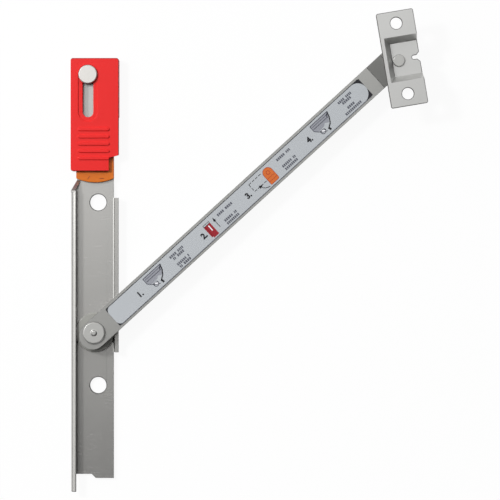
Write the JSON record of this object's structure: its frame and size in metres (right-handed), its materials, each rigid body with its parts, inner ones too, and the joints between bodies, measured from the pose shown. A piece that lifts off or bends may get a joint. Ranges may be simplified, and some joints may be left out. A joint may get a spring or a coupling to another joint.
{
  "type": "window restrictor",
  "caption": "Casement window restrictor: a folded rail with a sliding shoe, a long flat arm to a sash bracket, and a sliding cover over a turning release tab.",
  "frame": {"origin": "midway between the rail's two screw holes, on the rail's fixing face", "axes": "+Z away from the fixing face, +Y along the rail towards the sliding cover, +X across the rail towards the arm's open side"},
  "size_m": [0.1473, 0.1992, 0.0177],
  "materials": {
    "rail_steel": "satin stainless sheet",
    "arm_steel": "satin stainless sheet",
    "bracket_steel": "satin stainless sheet",
    "shoe_plastic": "moulded",
    "rivet_steel": "turned, satin",
    "pin_steel": "bright, satin",
    "label_film": "printed film",
    "cover_red": "moulded, satin gloss",
    "tab_orange": "moulded, satin gloss"
  },
  "bodies": {
    "rail": {"track": "rail_steel", "cover_pin": "pin_steel", "tab_rivet": "rivet_steel"},
    "shoe": {"slide_shoe": "shoe_plastic", "arm_spacer": "rivet_steel", "pivot_rivet": "rivet_steel"},
    "arm": {"arm": "arm_steel", "arm_label": "label_film", "swivel_washer": "rivet_steel", "swivel_rivet": "rivet_steel"},
    "bracket": {"bracket": "bracket_steel"},
    "cover": {"cover": "cover_red"},
    "tab": {"tab": "tab_orange"}
  },
  "joints": [
    {"name": "shoe_slide", "type": "slide", "parent": "rail", "child": "shoe", "axis": [0, 1, 0], "range_m": [-0.05, 0.0537]},
    {"name": "arm_swing", "type": "hinge", "parent": "shoe", "child": "arm", "pos_m": [-0.0012, -0.016, 0.0081], "axis": [0, 0, 1], "range_deg": [-95, 47]},
    {"name": "bracket_swivel", "type": "hinge", "parent": "arm", "child": "bracket", "pos_m": [0.12443, 0.09601, 0.0122], "axis": [0, 0, 1], "range_deg": [-57, 90]},
    {"name": "cover_slide", "type": "slide", "parent": "rail", "child": "cover", "axis": [0, 1, 0], "range_m": [0, 0.0155]},
    {"name": "tab_turn", "type": "hinge", "parent": "rail", "child": "tab", "pos_m": [-0.0012, 0.0649, 0.0025], "axis": [0, 0, 1], "range_deg": [0, 90]}
  ]
}
